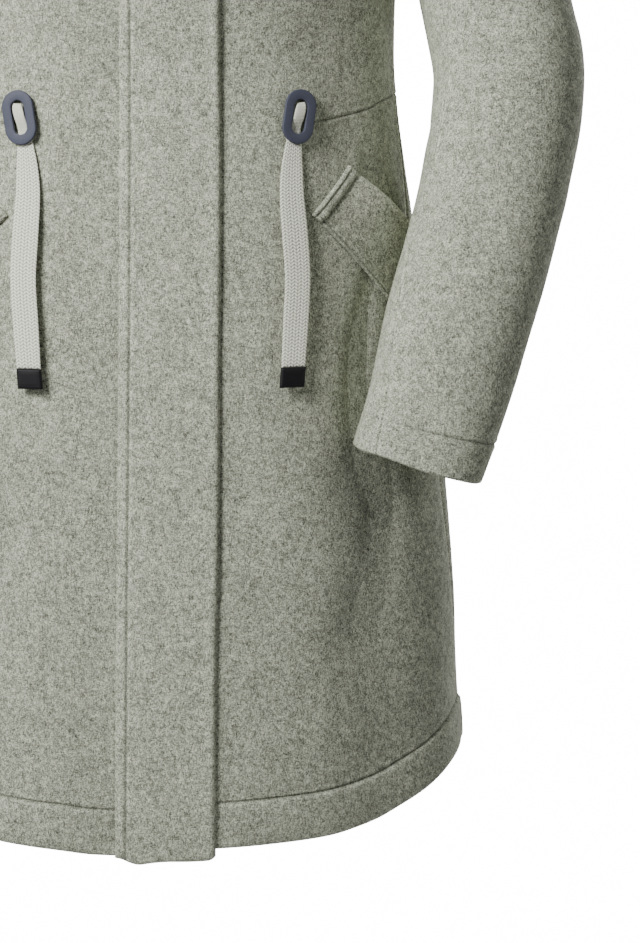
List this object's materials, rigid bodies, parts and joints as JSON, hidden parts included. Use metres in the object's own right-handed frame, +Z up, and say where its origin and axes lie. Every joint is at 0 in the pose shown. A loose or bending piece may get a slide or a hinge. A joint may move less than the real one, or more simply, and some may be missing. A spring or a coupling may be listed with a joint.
{
  "type": "hooded parka",
  "caption": "Knee-length hooded wool parka worn up: hollow body, long sleeves, covered front band, slanted pockets, waist cords through oval rings.",
  "frame": {"origin": "midway between the two points where the shoulder seams meet the neck, where the wearer's shoulders hold the coat", "axes": "+Z up, -Y the front, +X the wearer's left"},
  "size_m": [0.6694, 0.3323, 1.2685],
  "materials": {
    "wool_felt": "napped felt, grey green melange",
    "wool_felt_light": "napped felt, doubled",
    "slate_plastic": "matte",
    "knit_cord": "herringbone knit",
    "black_tab": "dull coated"
  },
  "bodies": {
    "root": {"front_left": "wool_felt", "front_right": "wool_felt", "back": "wool_felt", "placket": "wool_felt_light", "sleeve_left_top": "wool_felt", "sleeve_left_under": "wool_felt", "sleeve_right_top": "wool_felt", "sleeve_right_under": "wool_felt", "hood_left": "wool_felt", "hood_right": "wool_felt", "pocket_left": "wool_felt", "pocket_right": "wool_felt", "ring_left": "slate_plastic", "ring_right": "slate_plastic", "cord_left": "knit_cord", "cord_right": "knit_cord", "tab_left": "black_tab", "tab_right": "black_tab"}
  },
  "joints": []
}
